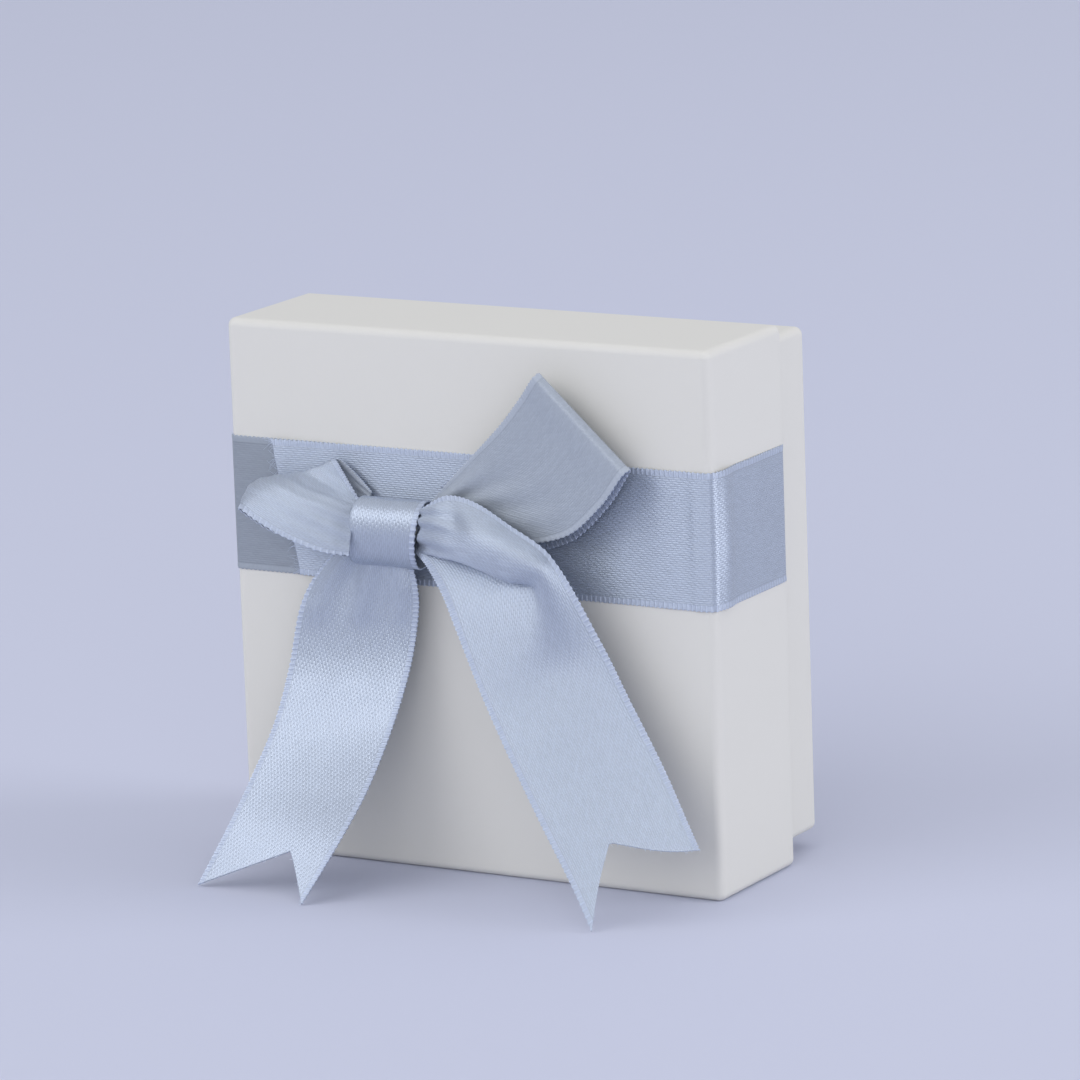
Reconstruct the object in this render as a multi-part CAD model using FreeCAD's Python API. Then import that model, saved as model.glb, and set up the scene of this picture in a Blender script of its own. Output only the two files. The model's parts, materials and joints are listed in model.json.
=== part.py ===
import FreeCAD, Part
import os

# A square two-piece set-up box for jewellery, stored standing on one edge.
# The lid faces the front (-Y), the base slides out of it towards the back (+Y),
# and a satin ribbon with a tied bow is fixed round the lid. Units are millimetres.
# The origin is the middle of the lid wall that the box stands on; +Z is up.

# ---- driving dimensions ----
BOX_SIDE = 80.0          # outside of the square lid
LID_DEPTH = 22.0         # outside depth of the lid, front face to rim
TOTAL_DEPTH = 34.0       # lid's front face to the base's outer bottom
BASE_INSET = 2.4         # the base stands in from the lid's outside by this much
BOARD_T = 1.5            # greyboard
WRAP_T = 0.2             # covering paper
STAY_T = 0.1             # gummed corner tape
LINER_T = 0.15           # lining paper
EDGE_R = 1.2             # rounding of the covered edges
RIM_R = 0.5              # rounding of the covered rims
STAY_LEG = 9.0           # each leg of a corner tape
STAY_END_GAP = 1.5       # corner tape stops this far from panel and rim
TURN_IN = 12.0           # covering paper folded in over the rim
MOUTH_GAP = 0.3          # between the base's rim and the lid's lining

LID_FOAM_T = 3.0
LID_FOAM_SIDE = 66.0
FOAM_CORNER_R = 2.5

PLATFORM_T = 0.6         # folded card under the display foam
INSERT_FOAM_T = 4.0
VELVET_T = 0.4
INSERT_GAP = 0.35        # all round, between the velvet and the base's turn-in
INSERT_FACE_Y = 5.35     # velvet's front face
INSERT_R = 1.5
RING_SLIT = (26.0, 1.0)  # length, width
CHAIN_SLIT = (7.0, 0.8)
CHAIN_SLIT_AT = 27.0     # from the middle, on each diagonal at the top
EARRING_HOLE_R = 0.5
EARRING_HOLE_AT = (9.0, 12.0)

RIBBON_W = 20.0
RIBBON_T = 0.2
RIBBON_MID_Z = 52.6      # middle of the band above the bottom edge
TAPE_T = 0.1
TUCK = 8.0               # ribbon folded in over the rim
SEAM_TOP_X = -32.4       # slanted cut end of the top layer
SEAM_LOW_X = -28.6
UNDER_END_X = -22.0      # hidden end of the bottom layer
STEP_RUN = 1.5           # the top layer steps down over this length
TAPE_MARGIN = 2.0        # tape stops short of the ribbon's selvedges
TAPE_END_GAP = 1.0       # and of its ends

BOW_T = 0.3              # ribbon of the bow, with its lustre face standing a little proud
KNOT_X = (-16.4, -5.0)
KNOT_HALF_Z = 5.0
KNOT_MID_Z = 51.0
KNOT_BACK_GAP = 0.6      # glue between the knot and the band
KNOT_DEPTH = 6.0
KNOT_WALL = 0.6
GLUE_R = 2.2
GLUE_BED = 0.4           # the knot sinks this far into the glue
NOTCH_REACH = 9.0        # the swallow-tail cutter's half depth

# ---- what follows from them ----
HALF = BOX_SIDE / 2
MID_Z = HALF
FRONT_Y = -LID_DEPTH / 2
RIM_Y = LID_DEPTH / 2
BACK_Y = FRONT_Y + TOTAL_DEPTH
WALL_T = 2 * WRAP_T + BOARD_T
PANEL_T = WRAP_T + BOARD_T
BASE_HALF = HALF - BASE_INSET
BASE_DEPTH = TOTAL_DEPTH - PANEL_T - LINER_T - MOUTH_GAP
BASE_FLOOR_Y = BACK_Y - PANEL_T - LINER_T
INSERT_HALF = BASE_HALF - WALL_T - INSERT_GAP
BAND_Z0 = RIBBON_MID_Z - RIBBON_W / 2
BAND_Z1 = RIBBON_MID_Z + RIBBON_W / 2

V = FreeCAD.Vector
FAR = 200.0

os.makedirs("parts", exist_ok=True)


def save(shape, name):
    """Write one sub-part as its own STEP file."""
    if shape.Volume <= 0 or not shape.isValid():
        raise ValueError(f"{name} is not a sound solid")
    shape.exportStep(f"parts/{name}.step")
    print(f"{name:24s} {len(shape.Solids)} solid  {shape.Volume / 1000:8.3f} cm3")


def span_box(x0, x1, y0, y1, z0, z1):
    return Part.makeBox(x1 - x0, y1 - y0, z1 - z0, V(x0, y0, z0))


def square_block(half, y0, y1):
    """A square block about the Y axis."""
    return span_box(-half, half, y0, y1, -half, half)


def edges_on(shape, test):
    """The edges whose two ends and middle all pass the test."""
    found = []
    for edge in shape.Edges:
        points = [vertex.Point for vertex in edge.Vertexes] + [edge.CenterOfMass]
        if all(test(p) for p in points):
            found.append(edge)
    return found


def soft_block(half, y0, y1, radius, rim_radius=0.0):
    """A square block rounded at its four corners and its panel edges (at y0)."""
    block = square_block(half, y0, y1)
    corners = edges_on(block, lambda p: abs(abs(p.x) - half) < 1e-4 and abs(abs(p.z) - half) < 1e-4)
    panel = edges_on(block, lambda p: abs(p.y - y0) < 1e-4)
    block = block.makeFillet(radius, corners + panel)
    if rim_radius:
        rim = edges_on(block, lambda p: abs(p.y - y1) < 1e-4)
        block = block.makeFillet(rim_radius, rim)
    return block


# ---- one tray of the box, its panel at y = 0 and its rim at y = depth ----
def tray_board(half, depth):
    """Greyboard: a panel and four walls, inside the covering paper."""
    outer = soft_block(half - WRAP_T, WRAP_T, depth - WRAP_T, EDGE_R - WRAP_T)
    return outer.cut(square_block(half - WRAP_T - BOARD_T, PANEL_T, depth + 1))


def tray_stays(half, depth):
    """Gummed paper tape round each corner, between the board and its covering."""
    board_half = half - WRAP_T
    board = soft_block(board_half, WRAP_T, depth - WRAP_T, EDGE_R - WRAP_T)
    skin = soft_block(board_half + STAY_T, WRAP_T - STAY_T, depth - WRAP_T, EDGE_R - WRAP_T + STAY_T)
    skin = skin.cut(board)
    stays = []
    for side_x in (-1, 1):
        for side_z in (-1, 1):
            x_ends = sorted((side_x * (half - STAY_LEG), side_x * half))
            z_ends = sorted((side_z * (half - STAY_LEG), side_z * half))
            zone = span_box(*x_ends, STAY_END_GAP, depth - STAY_END_GAP, *z_ends)
            stays.append(skin.common(zone))
    return stays


def tray_wrap(half, depth, stays):
    """Covering paper: over the panel and walls, round the rim and turned in."""
    outer = soft_block(half, 0, depth, EDGE_R, RIM_R)
    board_half = half - WRAP_T
    outer = outer.cut(soft_block(board_half, WRAP_T, depth - WRAP_T, EDGE_R - WRAP_T))
    turn_in = square_block(board_half - BOARD_T, depth - TURN_IN, depth)
    wrap = outer.cut(square_block(board_half - BOARD_T, PANEL_T, depth + 1)).fuse(turn_in)
    wrap = wrap.cut(square_block(half - WALL_T, PANEL_T, depth + 1))
    for stay in stays:
        wrap = wrap.cut(stay)
    return wrap.removeSplitter()


def tray_liner(half, depth):
    """Lining paper on the floor and up the walls as far as the turn-in."""
    inside = half - WRAP_T - BOARD_T
    liner = square_block(inside, PANEL_T, depth - TURN_IN)
    return liner.cut(square_block(inside - LINER_T, PANEL_T + LINER_T, depth))


def place(shape, panel_y, faces_back=False):
    """Put a tray where it belongs: the lid's panel faces the front, the base's the back."""
    shape = shape.copy()
    if faces_back:
        shape.rotate(V(0, 0, 0), V(0, 0, 1), 180)
    shape.translate(V(0, panel_y, MID_Z))
    return shape


def build_tray(prefix, half, depth, panel_y, faces_back):
    stays = tray_stays(half, depth)
    save(place(tray_board(half, depth), panel_y, faces_back), f"{prefix}_board")
    save(place(tray_wrap(half, depth, stays), panel_y, faces_back), f"{prefix}_wrap")
    save(place(tray_liner(half, depth), panel_y, faces_back), f"{prefix}_liner")
    for number, stay in enumerate(stays, 1):
        save(place(stay, panel_y, faces_back), f"{prefix}_corner_stay_{number}")


build_tray("lid", HALF, LID_DEPTH, FRONT_Y, False)
build_tray("base", BASE_HALF, BASE_DEPTH, BACK_Y, True)


# ---- soft pad inside the lid ----
def rounded_pad(half, y0, y1, radius):
    pad = square_block(half, y0, y1)
    corners = edges_on(pad, lambda p: abs(abs(p.x) - half) < 1e-4 and abs(abs(p.z) - half) < 1e-4)
    return pad.makeFillet(radius, corners)


lid_pad_y = FRONT_Y + PANEL_T + LINER_T
lid_pad = rounded_pad(LID_FOAM_SIDE / 2, lid_pad_y, lid_pad_y + LID_FOAM_T, FOAM_CORNER_R)
lid_pad.translate(V(0, 0, MID_Z))
save(lid_pad, "lid_foam_pad")


# ---- display insert: folded card, foam and velvet, with slits for jewellery ----
def slit(length, width, at_x, at_z, degrees):
    cutter = span_box(-length / 2, length / 2, -FAR, FAR, -width / 2, width / 2)
    cutter.rotate(V(0, 0, 0), V(0, 1, 0), degrees)
    cutter.translate(V(at_x, 0, at_z))
    return cutter


def insert_cutters():
    """A ring slit across the middle, two chain slits, and two earring holes."""
    cutters = [slit(*RING_SLIT, 0, 0, 0)]
    for side in (-1, 1):
        cutters.append(slit(*CHAIN_SLIT, side * CHAIN_SLIT_AT, CHAIN_SLIT_AT, side * 45))
        hole_x, hole_z = EARRING_HOLE_AT
        hole = Part.makeCylinder(EARRING_HOLE_R, 2 * FAR, V(side * hole_x, -FAR, hole_z), V(0, 1, 0))
        cutters.append(hole)
    return cutters


def pierced(shape):
    for cutter in insert_cutters():
        shape = shape.cut(cutter)
    return shape


foam_y = INSERT_FACE_Y + VELVET_T
card_y = foam_y + INSERT_FOAM_T
core_half = INSERT_HALF - VELVET_T

velvet = rounded_pad(INSERT_HALF, INSERT_FACE_Y, BASE_FLOOR_Y, INSERT_R)
velvet = velvet.cut(rounded_pad(core_half, foam_y, BACK_Y, INSERT_R - VELVET_T))
foam = rounded_pad(core_half, foam_y, card_y, INSERT_R - VELVET_T)
platform = rounded_pad(core_half, card_y, BASE_FLOOR_Y, INSERT_R - VELVET_T)
platform = platform.cut(square_block(core_half - PLATFORM_T, card_y + PLATFORM_T, BACK_Y))
for piece, name in ((velvet, "insert_velvet"), (foam, "insert_foam"), (platform, "insert_platform")):
    piece = pierced(piece)
    piece.translate(V(0, 0, MID_Z))
    save(piece, name)


# ---- ribbon band round the lid, in two lengths that overlap near the left edge ----
def lid_solid(grow):
    """The closed lid's outside, grown all round by a few layers of ribbon."""
    block = soft_block(HALF + grow, FRONT_Y - grow, RIM_Y + grow, EDGE_R + grow, RIM_R + grow)
    block.translate(V(0, 0, MID_Z))
    return block


band_slab = span_box(-FAR, FAR, -FAR, FAR, BAND_Z0, BAND_Z1)
lid_inside = HALF - WALL_T
leaf_outer = lid_inside - TAPE_T
leaf_inner = leaf_outer - RIBBON_T

sleeve = lid_solid(RIBBON_T).cut(lid_solid(0)).common(band_slab)
sleeve = sleeve.cut(span_box(-leaf_inner, leaf_inner, 0, FAR, 0, BOX_SIDE))
side_leaf = span_box(leaf_inner, leaf_outer, RIM_Y - TUCK, RIM_Y + RIBBON_T, BAND_Z0, BAND_Z1)


def across(shape):
    """The same piece on the other side of the box."""
    return shape.mirror(V(0, 0, 0), V(1, 0, 0))


skin_y = FRONT_Y - RIBBON_T
under_band = sleeve.common(span_box(-FAR, UNDER_END_X, -FAR, FAR, 0, BOX_SIDE))
under_band = under_band.fuse(across(side_leaf)).removeSplitter()
save(under_band, "ribbon_band_left_end")

lap_y = skin_y - TAPE_T
step_x = UNDER_END_X + STEP_RUN
flat_band = sleeve.common(span_box(step_x, FAR, -FAR, FAR, 0, BOX_SIDE)).fuse(side_leaf)
lap_outline = [
    (step_x, FRONT_Y), (UNDER_END_X, lap_y), (SEAM_TOP_X - 1, lap_y),
    (SEAM_TOP_X - 1, lap_y - RIBBON_T), (UNDER_END_X, lap_y - RIBBON_T), (step_x, skin_y),
]
lap_wire = Part.makePolygon([V(x, y, BAND_Z0) for x, y in lap_outline + lap_outline[:1]])
lap = Part.Face(lap_wire).extrude(V(0, 0, RIBBON_W))
seam_outline = [(SEAM_TOP_X, BAND_Z1), (SEAM_LOW_X, BAND_Z0), (-HALF, BAND_Z0 - 1), (-HALF, BAND_Z1 + 1)]
seam_wire = Part.makePolygon([V(x, -FAR, z) for x, z in seam_outline + seam_outline[:1]])
lap = lap.cut(Part.Face(seam_wire).extrude(V(0, 2 * FAR, 0)))
save(flat_band.fuse(lap).removeSplitter(), "ribbon_band")

# adhesive that holds the ribbon: inside both walls and in the overlap
tape_z = (BAND_Z0 + TAPE_MARGIN, BAND_Z1 - TAPE_MARGIN)
tape_y = (RIM_Y - TUCK + TAPE_END_GAP, RIM_Y - TAPE_END_GAP)
tape_right = span_box(leaf_outer, lid_inside, *tape_y, *tape_z)
save(tape_right, "band_tape_right")
save(across(tape_right), "band_tape_left")
lap_x = (SEAM_LOW_X + TAPE_END_GAP, UNDER_END_X - TAPE_END_GAP)
save(span_box(*lap_x, lap_y, skin_y, *tape_z), "band_tape_overlap")


# ---- bow: one length of ribbon tied by itself, as its knot, two loops and two tails ----
def ellipse_prism(x0, x1, mid_y, half_y, half_z):
    """An elliptical bar along X."""
    major, minor = max(half_y, half_z), min(half_y, half_z)
    curve = Part.Ellipse(V(0, 0, 0), major, minor).toShape()
    face = Part.Face(Part.Wire([curve]))
    face.rotate(V(0, 0, 0), V(0, 1, 0), 90)      # its long axis now runs along Z
    face.translate(V(x0, mid_y, KNOT_MID_Z))
    return face.extrude(V(x1 - x0, 0, 0))


knot_back_y = skin_y - KNOT_BACK_GAP
knot_mid_y = knot_back_y - KNOT_DEPTH / 2
knot_half_y = KNOT_DEPTH / 2
knot = ellipse_prism(*KNOT_X, knot_mid_y, knot_half_y, KNOT_HALF_Z)
knot = knot.cut(ellipse_prism(-FAR, FAR, knot_mid_y, knot_half_y - KNOT_WALL, KNOT_HALF_Z - KNOT_WALL))
save(knot, "bow_knot")

glue_x = sum(KNOT_X) / 2
glue = Part.makeCylinder(GLUE_R, KNOT_BACK_GAP + GLUE_BED, V(glue_x, skin_y, KNOT_MID_Z), V(0, -1, 0))
save(glue.cut(ellipse_prism(*KNOT_X, knot_mid_y, knot_half_y, KNOT_HALF_Z)), "bow_glue_dot")


def ribbon_strip(stations, thickness=BOW_T):
    """A ribbon through pairs of edge points, as a ruled solid of even thickness."""
    pairs = [(V(*a), V(*b)) for a, b in stations]
    middles = [(a + b) * 0.5 for a, b in pairs]
    rings = []
    for i, (a, b) in enumerate(pairs):
        ahead = middles[min(i + 1, len(pairs) - 1)] - middles[max(i - 1, 0)]
        lift = (b - a).cross(ahead).normalize() * (thickness / 2)
        rings.append([a - lift, b - lift, b + lift, a + lift])
    faces = [Part.Face(Part.makePolygon(ring + ring[:1])) for ring in (rings[0], rings[-1])]
    for near, far in zip(rings, rings[1:]):
        for k in range(4):
            j = (k + 1) % 4
            sides = Part.makeLine(near[k], near[j]), Part.makeLine(far[k], far[j])
            faces.append(Part.makeRuledSurface(*sides))
    shell = Part.makeShell(faces)
    shell.sewShape()
    solid = Part.Solid(shell)
    if solid.Volume < 0:
        solid.reverse()
    return solid


def notched(strip, left_tip, notch, right_tip):
    """Cut the swallow-tail end: everything below the two lines to the notch."""
    a, n, b = V(*left_tip), V(*notch), V(*right_tip)
    drop = ((a + b) * 0.5 - n) * 3
    outline = [a, n, b, b + drop, a + drop]
    normal = (b - a).cross(n - a).normalize()
    flat = [p - normal * normal.dot(p - a) for p in outline]
    face = Part.Face(Part.makePolygon([p - normal * NOTCH_REACH for p in flat + flat[:1]]))
    return strip.cut(face.extrude(normal * 2 * NOTCH_REACH))


above_floor = span_box(-FAR, FAR, -FAR, FAR, 0, FAR)

# each station is the ribbon's two edges, from the knot outwards
LEFT_TAIL = [
    ((-22.4, -13.6, 45.6), (-8.6, -13.8, 45.8)),
    ((-24.8, -14.4, 42.6), (-7.0, -14.2, 43.2)),
    ((-26.2, -15.8, 38.4), (-6.6, -14.8, 39.8)),
    ((-26.6, -18.6, 30.7), (-6.8, -17.0, 32.6)),
    ((-27.5, -21.8, 23.1), (-7.8, -20.8, 24.4)),
    ((-29.6, -26.0, 14.9), (-9.4, -26.4, 15.5)),
    ((-31.8, -29.0, 8.4), (-11.6, -31.0, 8.6)),
    ((-35.2, -32.5, 0.2), (-15.4, -35.8, 0.2)),
]
LEFT_NOTCH = (-20.4, -31.9, 5.9)
RIGHT_TAIL = [
    ((-4.8, -16.4, 48.4), (-4.7, -16.2, 55.4)),
    ((-3.4, -17.1, 46.6), (-0.6, -16.8, 57.2)),
    ((-1.2, -17.9, 44.6), (6.2, -18.0, 56.6)),
    ((0.8, -18.9, 41.5), (13.5, -18.9, 53.5)),
    ((3.4, -20.2, 37.4), (19.6, -18.4, 47.8)),
    ((8.8, -22.9, 29.3), (25.1, -17.6, 38.5)),
    ((14.5, -25.6, 21.5), (29.7, -17.8, 30.3)),
    ((20.4, -28.1, 13.7), (35.3, -18.8, 21.4)),
    ((26.2, -30.2, 6.0), (40.2, -20.8, 14.0)),
    ((30.2, -31.9, 0.2), (42.4, -21.8, 10.8)),
]
RIGHT_NOTCH = (32.4, -26.3, 11.6)
RIGHT_LOOP = [
    ((-4.8, -14.8, 48.4), (-4.8, -14.4, 54.2)),
    ((0.5, -15.0, 49.2), (-2.6, -14.4, 57.4)),
    ((7.9, -15.6, 50.6), (3.0, -14.8, 62.9)),
    ((18.9, -16.2, 52.9), (8.5, -15.4, 68.2)),
    ((25.1, -16.5, 57.8), (12.2, -15.8, 72.5)),
    ((28.9, -16.5, 62.6), (14.6, -16.2, 75.6)),
    ((29.5, -15.6, 63.2), (15.2, -15.5, 76.2)),
    ((28.9, -14.6, 62.6), (14.6, -14.8, 75.6)),
    ((24.4, -13.6, 56.8), (11.8, -13.6, 72.0)),
    ((17.4, -12.9, 51.2), (8.2, -12.8, 67.6)),
    ((1.6, -12.6, 47.4), (-3.4, -12.5, 57.8)),
]
LEFT_LOOP = [
    ((-16.6, -14.2, 54.6), (-16.6, -15.8, 47.8)),
    ((-17.6, -14.0, 56.9), (-20.9, -17.6, 48.0)),
    ((-19.1, -13.6, 58.9), (-26.4, -20.0, 50.6)),
    ((-20.5, -13.4, 60.4), (-32.0, -21.4, 54.4)),
    ((-20.8, -12.8, 60.9), (-32.7, -21.0, 53.9)),
    ((-20.2, -12.4, 60.5), (-31.6, -20.2, 52.8)),
    ((-18.4, -12.2, 58.9), (-28.2, -18.4, 50.3)),
    ((-16.6, -12.3, 56.8), (-18.5, -13.8, 47.2)),
]

left_tail = notched(ribbon_strip(LEFT_TAIL), LEFT_TAIL[-1][0], LEFT_NOTCH, LEFT_TAIL[-1][1])
right_tail = notched(ribbon_strip(RIGHT_TAIL), RIGHT_TAIL[-1][0], RIGHT_NOTCH, RIGHT_TAIL[-1][1])
save(left_tail.common(above_floor), "bow_tail_left")
save(right_tail.common(above_floor), "bow_tail_right")
save(ribbon_strip(LEFT_LOOP), "bow_loop_left")
save(ribbon_strip(RIGHT_LOOP), "bow_loop_right")
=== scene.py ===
import json
import math
import random

import bmesh
import bpy
import numpy as np
from mathutils import Matrix, Vector
from mathutils.kdtree import KDTree
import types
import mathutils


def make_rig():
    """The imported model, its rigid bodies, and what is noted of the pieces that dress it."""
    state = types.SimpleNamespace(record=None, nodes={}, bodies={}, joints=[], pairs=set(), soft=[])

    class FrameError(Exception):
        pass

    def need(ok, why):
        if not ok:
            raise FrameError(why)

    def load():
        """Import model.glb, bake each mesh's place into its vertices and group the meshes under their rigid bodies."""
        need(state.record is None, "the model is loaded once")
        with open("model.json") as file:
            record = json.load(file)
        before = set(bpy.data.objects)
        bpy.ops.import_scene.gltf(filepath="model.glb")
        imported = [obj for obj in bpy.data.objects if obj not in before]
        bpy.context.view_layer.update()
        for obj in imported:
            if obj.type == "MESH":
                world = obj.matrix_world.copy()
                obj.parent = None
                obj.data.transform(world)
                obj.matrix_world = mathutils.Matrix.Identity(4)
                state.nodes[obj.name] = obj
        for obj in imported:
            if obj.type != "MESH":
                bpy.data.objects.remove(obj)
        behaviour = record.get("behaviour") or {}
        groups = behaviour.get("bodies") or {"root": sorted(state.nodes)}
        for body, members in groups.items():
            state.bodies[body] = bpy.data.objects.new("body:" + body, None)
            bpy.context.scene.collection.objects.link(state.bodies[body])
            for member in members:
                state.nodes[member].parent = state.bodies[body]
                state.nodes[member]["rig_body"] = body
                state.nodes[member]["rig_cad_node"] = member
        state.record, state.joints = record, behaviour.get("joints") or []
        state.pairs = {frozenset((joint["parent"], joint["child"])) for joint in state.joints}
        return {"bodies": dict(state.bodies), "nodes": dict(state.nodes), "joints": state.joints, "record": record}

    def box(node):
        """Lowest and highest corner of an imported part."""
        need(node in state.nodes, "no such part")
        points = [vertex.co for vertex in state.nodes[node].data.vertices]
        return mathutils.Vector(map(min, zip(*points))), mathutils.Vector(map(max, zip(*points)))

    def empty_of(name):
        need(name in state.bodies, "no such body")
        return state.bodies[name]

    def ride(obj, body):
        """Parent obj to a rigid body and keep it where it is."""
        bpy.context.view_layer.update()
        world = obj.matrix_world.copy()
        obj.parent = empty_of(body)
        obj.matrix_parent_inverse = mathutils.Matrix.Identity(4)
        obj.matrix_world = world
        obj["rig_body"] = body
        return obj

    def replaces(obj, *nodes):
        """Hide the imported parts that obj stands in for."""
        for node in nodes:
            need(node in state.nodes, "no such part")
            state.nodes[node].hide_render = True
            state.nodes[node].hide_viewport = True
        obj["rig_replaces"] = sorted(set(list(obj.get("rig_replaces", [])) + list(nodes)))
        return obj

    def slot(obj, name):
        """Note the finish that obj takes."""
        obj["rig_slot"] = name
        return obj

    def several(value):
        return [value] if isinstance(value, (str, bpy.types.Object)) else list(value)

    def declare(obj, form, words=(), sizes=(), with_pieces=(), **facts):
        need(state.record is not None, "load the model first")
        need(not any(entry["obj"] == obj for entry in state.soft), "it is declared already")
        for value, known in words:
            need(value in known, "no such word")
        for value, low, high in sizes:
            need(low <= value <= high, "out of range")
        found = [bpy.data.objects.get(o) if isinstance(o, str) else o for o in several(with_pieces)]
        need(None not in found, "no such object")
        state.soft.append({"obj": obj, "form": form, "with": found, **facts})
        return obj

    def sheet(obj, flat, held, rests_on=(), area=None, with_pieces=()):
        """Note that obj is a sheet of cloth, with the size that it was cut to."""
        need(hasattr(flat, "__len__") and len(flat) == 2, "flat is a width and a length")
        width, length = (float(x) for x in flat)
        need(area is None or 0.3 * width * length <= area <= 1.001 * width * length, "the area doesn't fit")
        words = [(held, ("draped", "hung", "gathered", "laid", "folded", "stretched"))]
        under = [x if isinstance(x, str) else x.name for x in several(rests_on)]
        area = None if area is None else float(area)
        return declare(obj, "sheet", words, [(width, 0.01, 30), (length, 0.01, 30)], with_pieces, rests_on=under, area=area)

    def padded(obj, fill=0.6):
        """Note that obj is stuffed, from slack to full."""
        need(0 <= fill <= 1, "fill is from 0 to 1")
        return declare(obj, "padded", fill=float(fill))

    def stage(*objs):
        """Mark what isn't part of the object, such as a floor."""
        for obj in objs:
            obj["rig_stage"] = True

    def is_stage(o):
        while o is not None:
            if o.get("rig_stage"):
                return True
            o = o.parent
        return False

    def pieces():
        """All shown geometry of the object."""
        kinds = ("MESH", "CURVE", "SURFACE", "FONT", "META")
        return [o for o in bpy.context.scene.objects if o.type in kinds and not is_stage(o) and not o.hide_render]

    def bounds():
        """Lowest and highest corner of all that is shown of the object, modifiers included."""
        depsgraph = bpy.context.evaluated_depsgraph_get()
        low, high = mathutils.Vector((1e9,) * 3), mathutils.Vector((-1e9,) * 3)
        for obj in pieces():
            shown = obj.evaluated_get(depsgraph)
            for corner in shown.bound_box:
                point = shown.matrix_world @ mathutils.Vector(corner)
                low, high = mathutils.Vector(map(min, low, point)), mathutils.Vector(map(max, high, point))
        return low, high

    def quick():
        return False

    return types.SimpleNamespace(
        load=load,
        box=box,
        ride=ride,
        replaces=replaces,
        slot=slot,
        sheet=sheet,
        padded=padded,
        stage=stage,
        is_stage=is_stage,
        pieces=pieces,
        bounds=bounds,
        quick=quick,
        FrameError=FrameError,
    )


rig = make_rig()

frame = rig.load()
cad_low, cad_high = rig.bounds()

MM = 0.001

# ---- places taken from the frame, in millimetres ----
lid_low, lid_high = (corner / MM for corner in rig.box("lid_wrap"))
band_low, band_high = (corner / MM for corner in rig.box("ribbon_band"))
HALF = lid_high.x
FRONT_Y = lid_low.y
RIM_Y = lid_high.y
BAND_Z0 = band_low.z
BAND_Z1 = band_high.z
TAPE_IN_X = (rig.box("band_tape_right")[0] / MM).x

RIBBON_W = 20.0
RIBBON_T = 0.17
THREAD_R = 0.045         # a loose filament's radius
PICOT_PITCH = 0.75       # loops of weft along each selvedge
SELVEDGE_W = 0.9
PICOT_REACH = 0.16       # how far a loop of weft stands out of the edge
CORD_RISE = 0.045        # and above the face
RIBBON_STEP = 0.19       # between the rows of a ribbon's grid


def add_object(name, data):
    """A new object in the scene, for a mesh, a light or a camera."""
    made = bpy.data.objects.new(name, data)
    bpy.context.scene.collection.objects.link(made)
    return made


# ======================= materials =======================
# the colour sockets of the mix node, which shares its sockets' names among its kinds
MIX_INPUTS = (0, 6, 7)
MIX_OUTPUT = 2


class Shader:
    """A material's node tree, with short calls for the nodes used here."""

    def __init__(self, name):
        self.material = bpy.data.materials.new(name)
        self.material.use_nodes = True
        self.tree = self.material.node_tree
        self.surface = self.tree.nodes["Principled BSDF"]

    def connect(self, socket, value):
        """Links a socket to another one, or sets its own value."""
        if isinstance(value, bpy.types.NodeSocket):
            self.tree.links.new(value, socket)
        elif socket.type == "RGBA":
            socket.default_value = (*value, 1.0)
        else:
            socket.default_value = value

    def node(self, kind, settings=None, **inputs):
        made = self.tree.nodes.new(kind)
        for key, value in (settings or {}).items():
            setattr(made, key, value)
        for key, value in inputs.items():
            self.connect(made.inputs[key.replace("_", " ")], value)
        return made

    def math(self, operation, a, b=0.0):
        made = self.node("ShaderNodeMath", {"operation": operation})
        self.connect(made.inputs[0], a)
        self.connect(made.inputs[1], b)
        return made.outputs[0]

    def ramp(self, value, stops):
        """A ramp through stops, each a place and a colour or a grey level."""
        made = self.node("ShaderNodeValToRGB", Fac=value)
        elements = made.color_ramp.elements
        while len(elements) < len(stops):
            elements.new(0.5)
        for element, (place, colour) in zip(elements, stops):
            if not isinstance(colour, tuple):
                colour = (colour, colour, colour)
            element.position = place
            element.color = (*colour, 1.0)
        return made.outputs["Color"]

    def mix(self, factor, a, b):
        made = self.node("ShaderNodeMix", {"data_type": "RGBA"})
        for number, value in zip(MIX_INPUTS, (factor, a, b)):
            self.connect(made.inputs[number], value)
        return made.outputs[MIX_OUTPUT]

    def noise(self, scale, detail=2.0, vector=None, roughness=0.5):
        place = vector or self.place()
        made = self.node("ShaderNodeTexNoise", Scale=scale, Detail=detail, Roughness=roughness, Vector=place)
        return made.outputs["Fac"]

    def place(self):
        """The point in the object's own coordinates, in metres."""
        if not hasattr(self, "_place"):
            self._place = self.node("ShaderNodeTexCoord").outputs["Object"]
        return self._place

    def stretched(self, scale):
        return self.node("ShaderNodeMapping", Scale=scale, Vector=self.place()).outputs["Vector"]

    def bump(self, height, strength, distance, normal=None):
        made = self.node("ShaderNodeBump", Strength=strength, Distance=distance, Height=height)
        if normal is not None:
            self.connect(made.inputs["Normal"], normal)
        return made.outputs["Normal"]

    def finish(self, **inputs):
        for key, value in inputs.items():
            self.connect(self.surface.inputs[key.replace("_", " ")], value)
        return self.material


def shade(colour, share):
    """A colour made lighter or darker."""
    return tuple(level * share for level in colour)


PAPER_MOTTLE = 0.03             # how much darker the mottle is
PAPER_GRAIN_DEPTH = 0.00003     # in metres, as every bump's distance
PAPER_WAVE_DEPTH = 0.0004
FIBRE_ROUGHNESS = 0.12          # the swing of the roughness between fibres


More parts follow.
